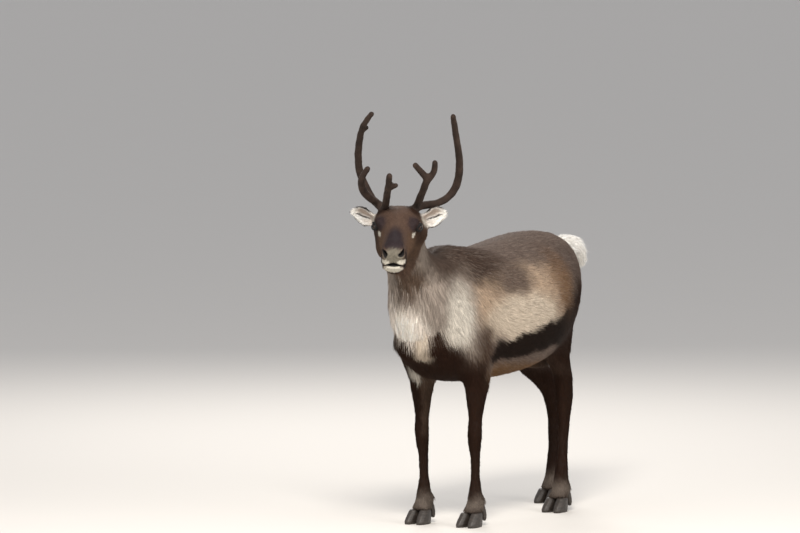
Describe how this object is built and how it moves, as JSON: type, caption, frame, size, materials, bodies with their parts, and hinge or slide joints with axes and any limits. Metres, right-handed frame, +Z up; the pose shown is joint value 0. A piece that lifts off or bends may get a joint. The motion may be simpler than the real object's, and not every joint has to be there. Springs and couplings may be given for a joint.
{
  "type": "reindeer",
  "caption": "Life-size still figure of a standing reindeer in autumn coat, head turned to its left, with antlers in velvet.",
  "frame": {"origin": "middle of the bounding box in plan, on the floor that the hooves stand on", "axes": "+Z up; the body lies along Y with the rump towards +Y; the animal's left is +X"},
  "size_m": [0.5004, 1.5362, 1.4639],
  "materials": {
    "coat_back": "matte grizzled grey-brown fur",
    "coat_neck": "matte pale grey fur",
    "coat_face": "short matte dark brown fur",
    "coat_leg": "short matte blackish brown fur",
    "coat_white": "matte white fur",
    "velvet": "short plush dark brown velvet",
    "hoof": "satin dark horn",
    "eye": "wet dark brown"
  },
  "bodies": {
    "root": {"antler_left_beam": "velvet", "antler_left_bez_tine": "velvet", "antler_right_beam": "velvet", "antler_right_bez_tine": "velvet", "antler_right_brow_tine": "velvet", "ear_left": "coat_white", "ear_right": "coat_white", "eye_left": "eye", "eye_right": "eye", "foreleg_left_cannon": "coat_leg", "foreleg_left_dewclaw_inner": "hoof", "foreleg_left_dewclaw_outer": "hoof", "foreleg_left_forearm": "coat_leg", "foreleg_left_hoof_inner": "hoof", "foreleg_left_hoof_outer": "hoof", "foreleg_right_cannon": "coat_leg", "foreleg_right_dewclaw_inner": "hoof", "foreleg_right_dewclaw_outer": "hoof", "foreleg_right_forearm": "coat_leg", "foreleg_right_hoof_inner": "hoof", "foreleg_right_hoof_outer": "hoof", "head": "coat_face", "hindleg_left_cannon": "coat_leg", "hindleg_left_dewclaw_inner": "hoof", "hindleg_left_dewclaw_outer": "hoof", "hindleg_left_hock": "coat_leg", "hindleg_left_hoof_inner": "hoof", "hindleg_left_hoof_outer": "hoof", "hindleg_left_thigh": "coat_leg", "hindleg_right_cannon": "coat_leg", "hindleg_right_dewclaw_inner": "hoof", "hindleg_right_dewclaw_outer": "hoof", "hindleg_right_hock": "coat_leg", "hindleg_right_hoof_inner": "hoof", "hindleg_right_hoof_outer": "hoof", "hindleg_right_thigh": "coat_leg", "jaw": "coat_face", "neck": "coat_neck", "tail": "coat_white", "trunk": "coat_back"}
  },
  "joints": []
}
